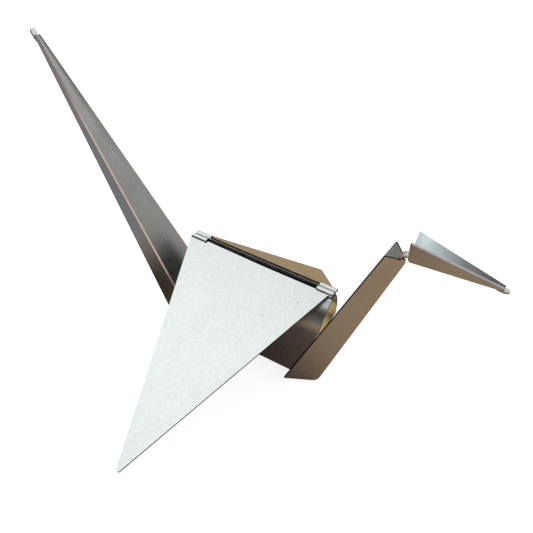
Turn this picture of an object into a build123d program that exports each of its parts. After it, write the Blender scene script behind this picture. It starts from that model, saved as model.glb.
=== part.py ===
"""Origami crane folded from one cut metal sheet.

The head points to +X, the wings reach out to -Y and +Y, and the crane stands on its keel and wing tips.
The origin lies on the floor under the middle of the ridge. The near half, on the -Y side, is modelled
and mirrored. Lengths are in millimetres and angles in degrees.
"""

import os
from math import atan2, cos, degrees, radians, sin

from build123d import *

os.makedirs("parts", exist_ok=True)

# Sheet, folds and cutting clearances
sheet = 0.5
fold_radius = 0.3
fold_gap = 0.25
corner_radius = 1.2
overrun = 5.0

# Body sides: the middle line of the sheet at the foot and at the shoulder of each side
side_foot_y = 5.0
side_foot_z = 4.4
side_shoulder_y = 5.3
side_shoulder_z = 17.5
side_foot_bow = 8.0
front_corner_z = 18.9
front_corner_radius = 2.6
rear_corner_run = 6.7
rear_corner_radius = 1.6

# Ridge: the sheet rolls over outward on two tabs, with a slot cut out between them
ridge_half_length = 20.2
ridge_top_z = 27.95
ridge_gap = 0.1
roll_radius = 0.4
roll_slope = 74.0
tab_length = 4.4
slot_edge_angle = 140.0
slot_front_lip = 0.1
slot_rear_lip = 0.75
slot_end_gap = 0.3

# Wings
wing_front_run = 19.1
wing_tip_lag = 0.45
wing_droop = 27.8
wing_tip_radius = 0.5

# Neck
neck_foot_x = 21.8
neck_foot_z = 0.5
neck_lean = 16.1
neck_length = 43.4
neck_slant = 0.45
neck_foot_width = 10.0
neck_top_width = 6.2
neck_half_angle = 44.5

# Head
head_step_x = 0.2
head_step_z = 0.0
head_pitch = 4.5
head_length = 20.6
head_slant = 0.35
head_width = 7.15
head_tip_width = 1.3
head_half_angle = 29.0
head_tip_reach = 1.1
head_tip_radius = 1.0

# Tail
tail_foot_x = -25.0
tail_foot_z = 0.5
tail_rise = 51.7
tail_length = 81.0
tail_foot_width = 14.5
tail_tip_width = 1.3
tail_half_angle = 28.5
tail_tip_reach = 2.1
tail_tip_radius = 0.95

# Links: the narrow strips of sheet left between one folded stretch and the next
link_half_width = 1.4
link_inset = 1.4
link_lap = 3.2
link_run = 1.5
link_height = 0.6
link_bend_radius = 1.1

# The fold seen in section
mid_radius = fold_radius + sheet / 2
outer_radius = fold_radius + sheet


def heading(angle):
    """The unit direction at an angle."""
    return Vector(cos(radians(angle)), sin(radians(angle)))


def spine_plane(x, z, slope):
    """The plane of symmetry seen from the near side, with x along a spine and y into its fold."""
    along = heading(slope)
    return Plane(origin=(x, 0, z), x_dir=(along.X, 0, along.Y), z_dir=(0, -1, 0))


def panel_plane(spine, half_angle):
    """The inner face of the near panel, with x along the spine and y toward the open edge."""
    return Plane(spine * Pos(0, outer_radius, 0) * Rot(half_angle, 0, 0) * Pos(0, 0, fold_radius))


def across_plane(spine, along):
    """The plane across a spine, centred on the axis of its fold, with x into the fold and y to the near side."""
    centre = spine.from_local_coords((along, outer_radius, 0))
    return Plane(origin=centre, x_dir=spine.y_dir, z_dir=spine.x_dir)


def nose_plane(spine):
    """The plane that touches the fold along its spine, with x along the spine and y to the near side."""
    return Plane(origin=spine.origin, x_dir=spine.x_dir, z_dir=-spine.y_dir)


def leg(width, half_angle):
    """The flat part of a panel whose width is counted from the outer line of the fold."""
    return width - outer_radius * cos(radians(half_angle))


# Spines of the three folded stretches
neck_spine = spine_plane(neck_foot_x, neck_foot_z, 90 - neck_lean)
neck_top = neck_spine.from_local_coords((neck_length, 0, 0))
head_spine = spine_plane(neck_top.X + head_step_x, neck_top.Z - head_step_z, head_pitch)
tail_spine = spine_plane(tail_foot_x, tail_foot_z, -tail_rise)

# Neck
with BuildPart() as neck:
    with BuildSketch(across_plane(neck_spine, 0)):
        with BuildLine():
            CenterArc((0, 0), mid_radius, 90 + neck_half_angle, 90 - neck_half_angle)
        trace(line_width=sheet)
    extrude(amount=neck_length)
    with BuildSketch(panel_plane(neck_spine, neck_half_angle)):
        with BuildLine():
            Polyline(
                (0, 0),
                (neck_length + neck_slant, 0),
                (neck_length + neck_slant, leg(neck_top_width, neck_half_angle)),
                (0, leg(neck_foot_width, neck_half_angle)),
                close=True,
            )
        make_face()
    extrude(amount=sheet)
    with BuildSketch(neck_spine) as neck_view:
        with BuildLine():
            Polyline(
                (0, 0),
                (neck_length, 0),
                (neck_length + neck_slant, neck_top_width),
                (neck_length + neck_slant, neck_foot_width),
                (0, neck_foot_width),
                close=True,
            )
        make_face()
        fillet(neck_view.vertices().group_by(Axis.Y)[0], corner_radius)
    extrude(amount=neck_foot_width, mode=Mode.INTERSECT)

# Head
with BuildPart() as head:
    with BuildSketch(across_plane(head_spine, 0)):
        with BuildLine():
            CenterArc((0, 0), mid_radius, 90 + head_half_angle, 90 - head_half_angle)
        trace(line_width=sheet)
    extrude(amount=head_length)
    with BuildSketch(panel_plane(head_spine, head_half_angle)):
        with BuildLine():
            Polyline(
                (0, 0),
                (head_length, 0),
                (head_length, leg(head_tip_width, head_half_angle)),
                (head_slant, leg(head_width, head_half_angle)),
                close=True,
            )
        make_face()
    extrude(amount=sheet)
    with BuildSketch(head_spine) as head_view:
        Rectangle(head_length, head_width, align=(Align.MIN, Align.MIN))
        fillet(head_view.vertices().group_by(Axis.Y)[0].sort_by(Axis.X)[0], corner_radius)
    extrude(amount=head_width, mode=Mode.INTERSECT)
    with BuildSketch(nose_plane(head_spine)):
        with Locations((head_length + head_tip_reach - head_tip_radius, 0)):
            Circle(head_tip_radius)
        with Locations((head_length - head_tip_radius, 0)):
            Circle(head_tip_width / 2)
        make_hull()
    extrude(amount=-sheet)
    with BuildSketch(head_spine):
        Rectangle(4 * head_length, 4 * head_width)
    extrude(amount=head_width, mode=Mode.INTERSECT)

# Tail
with BuildPart() as tail:
    with BuildSketch(across_plane(tail_spine, -tail_length)):
        with BuildLine():
            CenterArc((0, 0), mid_radius, 90 + tail_half_angle, 90 - tail_half_angle)
        trace(line_width=sheet)
    extrude(amount=tail_length)
    with BuildSketch(panel_plane(tail_spine, tail_half_angle)):
        with BuildLine():
            Polyline(
                (0, 0),
                (0, leg(tail_foot_width, tail_half_angle)),
                (-tail_length, leg(tail_tip_width, tail_half_angle)),
                (-tail_length, 0),
                close=True,
            )
        make_face()
    extrude(amount=sheet)
    with BuildSketch(tail_spine) as tail_view:
        Rectangle(tail_length, tail_foot_width, align=(Align.MAX, Align.MIN))
        fillet(tail_view.vertices().group_by(Axis.Y)[0].sort_by(Axis.X)[-1], corner_radius)
    extrude(amount=tail_foot_width, mode=Mode.INTERSECT)
    with BuildSketch(nose_plane(tail_spine)):
        with Locations((-tail_length - tail_tip_reach + tail_tip_radius, 0)):
            Circle(tail_tip_radius)
        with Locations((-tail_length + tail_tip_radius, 0)):
            Circle(tail_tip_width / 2)
        make_hull()
    extrude(amount=-sheet)
    with BuildSketch(tail_spine):
        Rectangle(4 * tail_length, 4 * tail_foot_width)
    extrude(amount=tail_foot_width, mode=Mode.INTERSECT)

# Section of the ridge roll: y to the near side, z up
roll_mid = roll_radius + sheet / 2
roll_outer = roll_radius + sheet
roll_centre = Vector(ridge_gap / 2 + roll_outer, ridge_top_z - roll_outer)
roll_end = roll_centre + heading(90 - roll_slope) * roll_mid
crease_centre = roll_end + heading(90 - roll_slope) * mid_radius
wing_root = crease_centre + heading(-90 - wing_droop) * mid_radius

# Section of the body side: two tangent arcs, from the foot to the shoulder and on into the roll
side_foot = Vector(side_foot_y, side_foot_z)
shoulder = Vector(side_shoulder_y, side_shoulder_z)
lower_chord = shoulder - side_foot
lower_angle = degrees(atan2(lower_chord.Y, lower_chord.X))
foot_angle = lower_angle - side_foot_bow / 2
shoulder_angle = lower_angle + side_foot_bow / 2
lower_radius = lower_chord.length / 2 / sin(radians(side_foot_bow / 2))
lower_centre = side_foot + heading(foot_angle + 90) * lower_radius
side_reach = lower_centre.X + lower_radius + sheet / 2
inward = heading(shoulder_angle + 90)
apart = roll_centre - shoulder
upper_radius = (apart.length**2 - roll_mid**2) / (2 * (apart.dot(inward) + roll_mid))
upper_centre = shoulder + inward * upper_radius
top_angle = degrees(atan2(roll_centre.Y - upper_centre.Y, roll_centre.X - upper_centre.X)) + 90

# Section of the belly, from the keel to the foot of the side
foot_centre = side_foot + heading(foot_angle + 90) * mid_radius
keel_centre = Vector(0, outer_radius)
belly_angle = degrees(atan2(foot_centre.Y - keel_centre.Y, foot_centre.X - keel_centre.X))
belly_start = keel_centre + heading(belly_angle - 90) * mid_radius
belly_end = foot_centre + heading(belly_angle - 90) * mid_radius

# Corners of the body sides, just clear of the neck and the tail that wrap round them
neck_angle = radians(neck_half_angle)
front_depth = outer_radius + (side_reach * cos(neck_angle) - fold_radius + fold_gap) / sin(neck_angle)
front_line = neck_spine.from_local_coords((0, front_depth, 0))


def front_edge(z):
    """The point of the side's front lower edge at a height, in the plane of symmetry."""
    run = (z - front_line.Z) / neck_spine.x_dir.Z
    return (front_line.X + neck_spine.x_dir.X * run, z)


def rear_edge(run):
    """The point just behind the open edge of the tail, at a distance from its foot along the spine."""
    width = tail_foot_width + (tail_tip_width - tail_foot_width) * run / tail_length
    point = tail_spine.from_local_coords((-run, width * cos(radians(tail_half_angle)) + fold_gap, 0))
    return (point.X, point.Z)


# Links in the plane of symmetry: level under the body, then along each spine inside its fold
link_depth = link_inset + sheet / 2
neck_link = neck_spine.from_local_coords((0, link_depth, 0))
neck_bend_x = neck_link.X - (neck_link.Z - link_height) * neck_spine.x_dir.X / neck_spine.x_dir.Z
neck_lap = neck_spine.from_local_coords((link_lap, link_depth, 0))
tail_link = tail_spine.from_local_coords((0, link_depth, 0))
tail_bend_x = tail_link.X - (tail_link.Z - link_height) * tail_spine.x_dir.X / tail_spine.x_dir.Z
tail_lap = tail_spine.from_local_coords((-link_lap, link_depth, 0))
neck_high = neck_spine.from_local_coords((neck_length, link_depth, 0))
neck_low = neck_spine.from_local_coords((neck_length - link_lap, link_depth, 0))
head_link = head_spine.from_local_coords((0, link_depth, 0))
head_lap = head_spine.from_local_coords((link_lap, link_depth, 0))
head_fall = (head_link - neck_high).dot(head_spine.y_dir) / neck_spine.x_dir.dot(head_spine.y_dir)
head_bend = neck_high + neck_spine.x_dir * head_fall
keel_front_x = neck_bend_x - link_run
keel_rear_x = tail_bend_x + link_run

# Body side
with BuildPart() as side:
    with BuildSketch(Plane.left):
        with BuildLine():
            CenterArc(foot_centre, mid_radius, belly_angle - 90, foot_angle - belly_angle)
            CenterArc(lower_centre, lower_radius, foot_angle - 90, side_foot_bow)
            CenterArc(upper_centre, upper_radius, shoulder_angle - 90, top_angle - shoulder_angle)
            CenterArc(roll_centre, roll_mid, slot_edge_angle, top_angle + 90 - slot_edge_angle)
        trace(line_width=sheet)
    extrude(amount=ridge_half_length, both=True)
    with BuildSketch(Plane.XZ) as side_view:
        with BuildLine():
            Polyline(
                (-ridge_half_length, ridge_top_z + overrun),
                rear_edge(rear_corner_run),
                rear_edge(0),
                (rear_edge(0)[0], -overrun),
                (front_edge(belly_end.Y)[0], -overrun),
                front_edge(belly_end.Y),
                front_edge(front_corner_z),
                (ridge_half_length, ridge_top_z + overrun),
                close=True,
            )
        make_face()
        fillet(side_view.vertices().sort_by_distance(front_edge(front_corner_z))[0], front_corner_radius)
        fillet(side_view.vertices().sort_by_distance(rear_edge(rear_corner_run))[0], rear_corner_radius)
    extrude(amount=2 * side_reach, mode=Mode.INTERSECT)

# Belly
with BuildPart() as belly:
    with BuildSketch(Plane.left):
        with BuildLine():
            CenterArc(keel_centre, mid_radius, -90, belly_angle)
            Line(belly_start, belly_end)
        trace(line_width=sheet)
    extrude(amount=ridge_half_length + overrun, both=True)
    with BuildSketch(Plane.XY):
        with BuildLine():
            Polyline(
                (keel_rear_x, 0),
                (keel_rear_x, -link_half_width),
                (rear_edge(0)[0], -belly_end.X),
                (rear_edge(0)[0], -side_reach),
                (front_edge(belly_end.Y)[0], -side_reach),
                (front_edge(belly_end.Y)[0], -belly_end.X),
                (keel_front_x, -link_half_width),
                (keel_front_x, 0),
                close=True,
            )
        make_face()
    extrude(amount=side_foot_z + overrun, both=True, mode=Mode.INTERSECT)

# Tabs at both ends of the ridge
with BuildPart() as tabs:
    with BuildSketch(Plane.left.offset(-ridge_half_length), Plane.left.offset(ridge_half_length - tab_length)):
        with BuildLine():
            CenterArc(roll_centre, roll_mid, 90 - roll_slope, slot_edge_angle - 90 + roll_slope)
            CenterArc(crease_centre, mid_radius, -90 - roll_slope, roll_slope - wing_droop)
        trace(line_width=sheet)
    extrude(amount=tab_length)

# Wing: its tip touches the floor
wing_up = heading(90 - wing_droop)
wing_out = heading(-wing_droop)
wing_base = wing_root - wing_up * (sheet / 2)
wing_length = wing_base.Y / sin(radians(wing_droop))
wing_plane = Plane(
    origin=(0, -wing_base.X, wing_base.Y),
    x_dir=(-1, 0, 0),
    z_dir=(0, -wing_up.X, wing_up.Y),
)
slot_half_length = ridge_half_length - tab_length - slot_end_gap
with BuildPart() as wing:
    with BuildSketch(wing_plane):
        with BuildLine():
            Line((-wing_front_run, 0), (ridge_half_length, 0))
            CenterArc((wing_tip_lag, wing_length - wing_tip_radius), wing_tip_radius, 0, 180)
        make_hull()
        with BuildLine():
            Polyline(
                (-slot_half_length, 0),
                (-slot_half_length, -slot_front_lip),
                (slot_half_length, -slot_rear_lip),
                (slot_half_length, 0),
                close=True,
            )
        make_face()
    extrude(amount=sheet)

# Links
with BuildPart() as links:
    with BuildSketch(Plane.XZ):
        with BuildLine():
            FilletPolyline(
                (tail_lap.X, tail_lap.Z),
                (tail_bend_x, link_height),
                (keel_rear_x + link_run, link_height),
                radius=link_bend_radius,
            )
        trace(line_width=sheet)
        with BuildLine():
            FilletPolyline(
                (keel_front_x - link_run, link_height),
                (neck_bend_x, link_height),
                (neck_lap.X, neck_lap.Z),
                radius=link_bend_radius,
            )
        trace(line_width=sheet)
        with BuildLine():
            FilletPolyline(
                (neck_low.X, neck_low.Z),
                (head_bend.X, head_bend.Z),
                (head_lap.X, head_lap.Z),
                radius=link_bend_radius,
            )
        trace(line_width=sheet)
    extrude(amount=link_half_width)

# Whole sheet
with BuildPart() as folded_crane_sheet:
    add(side.part)
    add(belly.part)
    add(tabs.part)
    add(wing.part)
    add(links.part)
    add(neck.part)
    add(head.part)
    add(tail.part)
    mirror(about=Plane.XZ)

folded_crane_sheet.part.label = "folded_crane_sheet"
export_step(folded_crane_sheet.part, "parts/folded_crane_sheet.step")
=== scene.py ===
import bmesh
import bpy
import numpy as np
from mathutils import Matrix, Vector
from mathutils.bvhtree import BVHTree


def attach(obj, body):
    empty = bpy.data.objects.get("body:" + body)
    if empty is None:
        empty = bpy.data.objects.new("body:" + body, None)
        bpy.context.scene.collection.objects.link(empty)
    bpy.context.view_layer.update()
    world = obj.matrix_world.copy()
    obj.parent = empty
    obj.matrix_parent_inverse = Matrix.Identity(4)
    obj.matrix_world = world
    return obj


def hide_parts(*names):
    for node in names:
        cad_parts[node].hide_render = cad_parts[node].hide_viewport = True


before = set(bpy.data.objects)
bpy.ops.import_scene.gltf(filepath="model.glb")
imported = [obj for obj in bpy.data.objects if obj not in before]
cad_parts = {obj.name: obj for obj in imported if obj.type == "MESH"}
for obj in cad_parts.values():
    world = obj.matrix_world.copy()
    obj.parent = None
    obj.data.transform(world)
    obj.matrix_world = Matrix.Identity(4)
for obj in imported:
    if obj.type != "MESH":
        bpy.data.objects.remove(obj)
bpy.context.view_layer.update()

# Folded sheet: the crane is one piece of bright metal sheet, cut to a cross-shaped outline and
# bent by hand. A merged copy of the CAD node takes its place. Its cut edges are dark, partly from
# the cutting and partly painted shade, but bright on the head and links, and on the tail they
# carry a painted reflection. Painted shade darkens the near side beside the slot.
rolled_face, dark_edge_and_painted_shade, painted_reflection_edge = 0, 1, 2
# Lengths are in metres and bends in radians.
sheet_depth, depth_slack = 0.00049, 0.0001
slight_bend, sharp_corner, sharp_share = 0.045, 1.047, 0.6
slot_shade_half_length, slot_shade_half_width, slot_shade_floor = 0.0158, 0.0009, 0.0255
tail_start, head_start, head_floor = -0.0215, 0.0335, 0.040
link_half_width, link_slack, sideways_share = 0.0014, 0.00005, 0.9
merge_within, start_below = 1e-6, 1e-5

# The loose triangles hold the shading of each corner, which is carried across the merge.
sheet_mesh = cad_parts["folded_crane_sheet"].data.copy()
sheet_mesh.name = "crane_sheet"
sheet_mesh.materials.clear()
shading = np.empty(len(sheet_mesh.loops) * 3, np.float32)
sheet_mesh.corner_normals.foreach_get("vector", shading)
kept_shading = sheet_mesh.attributes.new("shading", "FLOAT_VECTOR", "CORNER")
kept_shading.data.foreach_set("vector", shading)
joined = bmesh.new()
joined.from_mesh(sheet_mesh)
bmesh.ops.remove_doubles(joined, verts=joined.verts, dist=merge_within)
metal_behind = BVHTree.FromBMesh(joined)


def bent_length(face, least_bend):
    """The summed length of the face's sides whose neighbour is turned by more than the bend."""
    return sum(
        side.calc_length() for side in face.edges if side.calc_face_angle(0.0) > least_bend
    )


def is_cut_edge(face, middle):
    """True where the metal behind isn't one sheet deep and a large share of the bends is sharp."""
    depth = metal_behind.ray_cast(middle - face.normal * start_below, -face.normal)[3]
    one_sheet = depth is not None and abs(depth - sheet_depth) <= depth_slack
    sharp, all_bent = bent_length(face, sharp_corner), bent_length(face, slight_bend)
    return not one_sheet and sharp > sharp_share * all_bent


for face in joined.faces:
    middle = face.calc_center_median()
    beside_slot = (
        abs(middle.x) < slot_shade_half_length
        and abs(middle.y) < slot_shade_half_width
        and middle.z > slot_shade_floor
    )
    on_head = middle.x > head_start and middle.z > head_floor
    on_link = (
        abs(face.normal.y) > sideways_share
        and abs(abs(middle.y) - link_half_width) < link_slack
    )
    # Painted shade: the near side beside the slot gets the dark material.
    if beside_slot:
        face.material_index = dark_edge_and_painted_shade if middle.y < 0.0 else rolled_face
    # Cut edges: dark, partly painted shade, and a painted reflection of the warm table on the
    # tail.
    elif is_cut_edge(face, middle) and not on_link and not on_head:
        face.material_index = painted_reflection_edge if middle.x < tail_start else dark_edge_and_painted_shade
    else:
        face.material_index = rolled_face
joined.to_mesh(sheet_mesh)
joined.free()
shading = np.empty(len(sheet_mesh.loops) * 3, np.float32)
sheet_mesh.attributes["shading"].data.foreach_get("vector", shading)
sheet_mesh.normals_split_custom_set(shading.reshape(-1, 3))
sheet_mesh.attributes.remove(sheet_mesh.attributes["shading"])
sheet = bpy.data.objects.new("crane_sheet", sheet_mesh)
bpy.context.scene.collection.objects.link(sheet)
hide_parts("folded_crane_sheet")
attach(sheet, "root")


# Rolled faces: satin metal with a cloudy grain, a fine mottle, faint hairlines and a few dark
# specks. The sheet is slightly wavy from the bending, so each panel mirrors the room unevenly.
def mottling(tree, spots, scale, detail, falloff=0.5):
    """A smooth random height at each point, with finer waves added at a falling strength."""
    noise = tree.nodes.new("ShaderNodeTexNoise")
    noise.inputs["Scale"].default_value = scale
    noise.inputs["Detail"].default_value = detail
    noise.inputs["Roughness"].default_value = falloff
    tree.links.new(spots, noise.inputs["Vector"])
    return noise.outputs["Fac"]


def toned(tree, level, *stops):
    """The colour at a level: a straight blend between the tones of the two stops around it."""
    ramp = tree.nodes.new("ShaderNodeValToRGB")
    marks = ramp.color_ramp.elements
    for _ in stops[2:]:
        marks.new(1.0)
    for mark, (position, tone) in zip(marks, stops):
        mark.position = position
        mark.color = (*tone, 1.0)
    tree.links.new(level, ramp.inputs["Fac"])
    return ramp.outputs["Color"]


def laid_on(tree, share, under, over, blend="MIX"):
    """The over tone laid on the under tone by a share, plainly or multiplied with it."""
    mix = tree.nodes.new("ShaderNodeMix")
    mix.data_type = "RGBA"
    mix.blend_type = blend
    for socket, part in (("Factor", share), ("A", under), ("B", over)):
        if isinstance(part, bpy.types.NodeSocket):
            tree.links.new(part, mix.inputs[socket])
        else:
            mix.inputs[socket].default_value = part if socket == "Factor" else (*part, 1.0)
    return mix.outputs["Result"]


def risen(tree, value, start, end, low=0.0, high=1.0, rise="LINEAR"):
    """Low at the start and before it, high from the end on, and a straight or S-shaped rise."""
    stretch = tree.nodes.new("ShaderNodeMapRange")
    stretch.interpolation_type = rise
    stretch.inputs["From Min"].default_value = start
    stretch.inputs["From Max"].default_value = end
    stretch.inputs["To Min"].default_value = low
    stretch.inputs["To Max"].default_value = high
    tree.links.new(value, stretch.inputs["Value"])
    return stretch.outputs["Result"]


def relief(tree, level, strength, height, normal=None):
    """The surface's normal, tilted against the slope of the level times the height."""
    bump = tree.nodes.new("ShaderNodeBump")
    bump.inputs["Strength"].default_value = strength
    bump.inputs["Distance"].default_value = height
    tree.links.new(level, bump.inputs["Height"])
    if normal:
        tree.links.new(normal, bump.inputs["Normal"])
    return bump.outputs["Normal"]


plain_white = (1.0, 1.0, 1.0)
rolled = bpy.data.materials.new("satin_rolled_face")
rolled.use_nodes = True
tree = rolled.node_tree
metal = tree.nodes["Principled BSDF"]
metal.inputs["Metallic"].default_value = 1.0
spots = tree.nodes.new("ShaderNodeTexCoord").outputs["Object"]
cloud = mottling(tree, spots, 130.0, 5.0, 0.6)
mottle = mottling(tree, spots, 1400.0, 3.0)
wave = mottling(tree, spots, 45.0, 1.0)
drawn = tree.nodes.new("ShaderNodeMapping")
drawn.inputs["Rotation"].default_value = (0.3, 0.5, 0.7)
drawn.inputs["Scale"].default_value = (140.0, 1900.0, 1900.0)
tree.links.new(spots, drawn.inputs["Vector"])
hair = mottling(tree, drawn.outputs["Vector"], 1.0, 1.0)
dots = tree.nodes.new("ShaderNodeTexVoronoi")
dots.inputs["Scale"].default_value = 160.0
tree.links.new(spots, dots.inputs["Vector"])
finish = toned(tree, cloud, (0.30, (0.700, 0.713, 0.700)), (0.70, (0.765, 0.778, 0.760)))
for marking in (
    toned(tree, mottle, (0.25, (0.89, 0.89, 0.89)), (0.75, plain_white)),
    toned(tree, hair, (0.70, plain_white), (0.76, (0.93, 0.93, 0.93))),
    toned(tree, dots.outputs["Distance"], (0.020, (0.35, 0.34, 0.32)), (0.035, plain_white)),
):
    finish = laid_on(tree, 1.0, finish, marking, "MULTIPLY")
tree.links.new(finish, metal.inputs["Base Color"])
tree.links.new(risen(tree, cloud, 0.3, 0.7, 0.22, 0.30), metal.inputs["Roughness"])
waved = relief(tree, wave, 1.0, 0.00005)
tree.links.new(relief(tree, mottle, 0.02, 0.00002, waved), metal.inputs["Normal"])
sheet_mesh.materials.append(rolled)

# Cut edges: darkened partly by the cutting and partly by painted shade, and rough along the cut.
# The same dark material paints the shade beside the slot. On the tail the edges carry a painted
# reflection of the warm table instead: a bright copper tint that fades to grey toward its tip.
fade_start, fade_end = 0.044, 0.056
for edge_name, low_tone, high_tone, tip_tone, edge_roughness in (
    ("dark_cut_edge_and_painted_shade", (0.012, 0.010, 0.011), (0.05, 0.042, 0.046), (0.03, 0.026, 0.028), 0.45),
    ("cut_edge_painted_reflection", (0.92, 0.66, 0.50), (1.0, 0.86, 0.70), (0.34, 0.31, 0.29), 0.48),
):
    cut = bpy.data.materials.new(edge_name)
    cut.use_nodes = True
    tree = cut.node_tree
    metal = tree.nodes["Principled BSDF"]
    metal.inputs["Metallic"].default_value = 1.0
    metal.inputs["Roughness"].default_value = edge_roughness
    spots = tree.nodes.new("ShaderNodeTexCoord").outputs["Object"]
    torn = mottling(tree, spots, 700.0, 4.0)
    edge_tone = toned(tree, torn, (0.35, low_tone), (0.70, high_tone))
    along = tree.nodes.new("ShaderNodeSeparateXYZ")
    tree.links.new(spots, along.inputs["Vector"])
    aloft = risen(tree, along.outputs["Z"], fade_start, fade_end)
    faded = laid_on(tree, aloft, edge_tone, tip_tone)
    tree.links.new(faded, metal.inputs["Base Color"])
    tree.links.new(relief(tree, torn, 0.4, 0.00003), metal.inputs["Normal"])
    sheet_mesh.materials.append(cut)

# Floor: a plain pale table top that reads white to the camera and keeps a faint shadow.
# The metal mirrors it as the warm tan surface that the real panels mirror.
floor_half = 4.0
table_tan, behind_grey, beyond_tan = (0.50, 0.35, 0.22), (0.31, 0.30, 0.31), (0.54, 0.355, 0.16)
floor_mesh = bpy.data.meshes.new("floor")
floor_mesh.from_pydata([
    (-floor_half, -floor_half, 0.0), (floor_half, -floor_half, 0.0),
    (floor_half, floor_half, 0.0), (-floor_half, floor_half, 0.0),
], [], [(0, 1, 2, 3)])
floor = bpy.data.objects.new("floor", floor_mesh)
bpy.context.scene.collection.objects.link(floor)
pale = bpy.data.materials.new("pale_floor")
pale.use_nodes = True
tree = pale.node_tree
tree.nodes.clear()
white = tree.nodes.new("ShaderNodeBsdfDiffuse")
white.inputs["Color"].default_value = (0.55, 0.55, 0.55, 1.0)
glow = tree.nodes.new("ShaderNodeEmission")
glow.inputs["Strength"].default_value = 0.85
both = tree.nodes.new("ShaderNodeAddShader")
tree.links.new(white.outputs["BSDF"], both.inputs[0])
tree.links.new(glow.outputs["Emission"], both.inputs[1])
spots = tree.nodes.new("ShaderNodeTexCoord").outputs["Object"]
across = tree.nodes.new("ShaderNodeSeparateXYZ")
tree.links.new(spots, across.inputs["Vector"])
# The mirrored table is grey behind the crane and warmer beyond it, with a painted shadow under the
# tail.
behind = risen(tree, across.outputs["X"], -0.028, -0.065)
table = laid_on(tree, behind, table_tan, behind_grey)
beyond = risen(tree, across.outputs["Y"], 0.02, 0.06)
table = laid_on(tree, beyond, table, beyond_tan)
# Painted shadow: the table is multiplied darker near the tail's foot.
from_tail = tree.nodes.new("ShaderNodeVectorMath")
from_tail.operation = "DISTANCE"
from_tail.inputs[1].default_value = (-0.036, 0.0, 0.0)
tree.links.new(spots, from_tail.inputs[0])
painted_tail_shadow = risen(tree, from_tail.outputs["Value"], 0.002, 0.026, 0.15, 1.0, "SMOOTHSTEP")
table = laid_on(tree, 1.0, table, painted_tail_shadow, "MULTIPLY")
# An oval painted shadow lies under the body and the near wing.
oval = tree.nodes.new("ShaderNodeMapping")
oval.vector_type = "TEXTURE"
oval.inputs["Location"].default_value = (0.002, -0.030, 0.0)
oval.inputs["Scale"].default_value = (0.040, 0.064, 1.0)
tree.links.new(spots, oval.inputs["Vector"])
from_middle = tree.nodes.new("ShaderNodeVectorMath")
from_middle.operation = "LENGTH"
tree.links.new(oval.outputs["Vector"], from_middle.inputs[0])
outside_painted_shadow = risen(tree, from_middle.outputs["Value"], 0.3, 1.0, rise="SMOOTHSTEP")
painted_shadow_tone = laid_on(tree, outside_painted_shadow, (0.42, 0.44, 0.60), plain_white)
table = laid_on(tree, 1.0, table, painted_shadow_tone, "MULTIPLY")
tan = tree.nodes.new("ShaderNodeBsdfDiffuse")
tree.links.new(table, tan.inputs["Color"])
seen = tree.nodes.new("ShaderNodeMixShader")
gaze = tree.nodes.new("ShaderNodeLightPath")
tree.links.new(gaze.outputs["Is Camera Ray"], seen.inputs["Fac"])
tree.links.new(tan.outputs["BSDF"], seen.inputs[1])
tree.links.new(both.outputs["Shader"], seen.inputs[2])
out = tree.nodes.new("ShaderNodeOutputMaterial")
tree.links.new(seen.outputs["Shader"], out.inputs["Surface"])
floor_mesh.materials.append(pale)

# Room: pale above and dimmer toward the horizon, and plain white where the camera sees it.
# Soft darker areas stand for the dim parts of the room that the panels mirror.
room = bpy.data.worlds.new("room")
bpy.context.scene.world = room
room.use_nodes = True
tree = room.node_tree
where = tree.nodes.new("ShaderNodeTexCoord").outputs["Generated"]
height = tree.nodes.new("ShaderNodeSeparateXYZ")
tree.links.new(where, height.inputs["Vector"])
sky = toned(
    tree, height.outputs["Z"],
    (0.04, (0.27, 0.26, 0.25)), (0.18, (0.42, 0.42, 0.42)), (0.30, (0.52, 0.52, 0.52)),
    (0.53, (0.92, 0.92, 0.92)), (0.80, (0.96, 1.0, 1.0)),
)
for toward_dark, outer, inner, left_over in (
    ((-0.15, -0.80, 0.58), 0.87, 0.945, (0.095, 0.075, 0.058)),
    ((0.80, 0.36, 0.48), 0.93, 0.995, (0.45, 0.42, 0.395)),
    ((0.42, -0.13, 0.90), 0.86, 0.95, (0.42, 0.375, 0.48)),
    ((-0.60, -0.78, 0.15), 0.82, 0.93, (0.22, 0.22, 0.22)),
):
    near = tree.nodes.new("ShaderNodeVectorMath")
    near.operation = "DOT_PRODUCT"
    near.inputs[1].default_value = Vector(toward_dark).normalized()
    tree.links.new(where, near.inputs[0])
    dimness = risen(tree, near.outputs["Value"], outer, inner, rise="SMOOTHSTEP")
    sky = laid_on(tree, dimness, sky, left_over, "MULTIPLY")
gaze = tree.nodes.new("ShaderNodeLightPath")
sky = laid_on(tree, gaze.outputs["Is Camera Ray"], sky, plain_white)
air = tree.nodes["Background"]
air.inputs["Strength"].default_value = 1.0
tree.links.new(sky, air.inputs["Color"])

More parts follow.
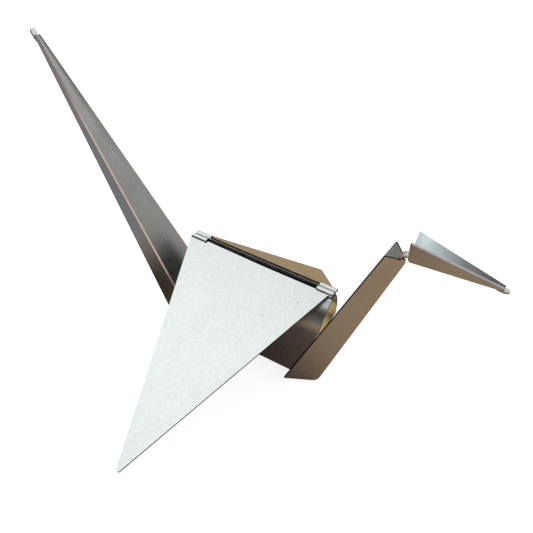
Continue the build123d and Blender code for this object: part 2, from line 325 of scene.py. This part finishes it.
# Lamps: a wide soft one overhead, a small warm glow low inside the body, which the far side
# mirrors at the front opening, and a small cool one by the camera, which the head mirrors.
for lamp_name, size, power, tint, stand_at, look_at, in_view in (
    ("overhead_lamp", 0.8, 0.485, (0.925, 0.99, 1.0),
     (-0.32, -0.33, 0.7), (0.0, 0.0, 0.0), True),
    ("warm_fill", 0.008, 0.0001, (1.0, 0.68, 0.35),
     (0.015, 0.0, 0.008), (0.345, 0.50, 0.758), False),
    ("cool_fill", 0.028, 0.0038, (0.82, 0.93, 1.0),
     (0.008, -0.097, 0.116), (0.034, 0.003, 0.047), False),
):
    lamp_data = bpy.data.lights.new(lamp_name, "AREA")
    lamp_data.shape = "DISK"
    lamp_data.size = size
    lamp_data.energy = power
    lamp_data.color = tint
    lamp = bpy.data.objects.new(lamp_name, lamp_data)
    lamp.location = stand_at
    lamp.rotation_mode = "QUATERNION"
    lamp.rotation_quaternion = (Vector(stand_at) - Vector(look_at)).to_track_quat("Z", "Y")
    lamp.visible_camera = in_view
    bpy.context.scene.collection.objects.link(lamp)

# Camera: close to the crane, a little in front of its near side, looking down and turned
# slightly. The two small shifts bring the crane to its place in the frame.
azimuth, elevation, turn = 0.395, 0.536, 0.194
distance, shift_right, shift_up = 0.150, 0.00105, -0.00126
toward = np.array([
    np.sin(azimuth) * np.cos(elevation),
    -np.cos(azimuth) * np.cos(elevation),
    np.sin(elevation),
])
level = np.array([np.cos(azimuth), np.sin(azimuth), 0.0])
raised = np.cross(toward, level)
right = np.cos(turn) * level + np.sin(turn) * raised
up = -np.sin(turn) * level + np.cos(turn) * raised
aim = np.array([0.0, 0.0, 0.0275])
stand = aim + shift_right * right + shift_up * up + distance * toward
camera_data = bpy.data.cameras.new("camera")
camera_data.sensor_width = 36.0
camera_data.lens = 40.5
camera_data.clip_start = 0.01
camera_data.clip_end = 20.0
camera = bpy.data.objects.new("camera", camera_data)
turned = Matrix((right, up, toward)).transposed().to_4x4()
camera.matrix_world = Matrix.Translation(Vector(stand)) @ turned
bpy.context.scene.collection.objects.link(camera)
bpy.context.scene.camera = camera
bpy.context.scene.view_settings.view_transform = "Standard"
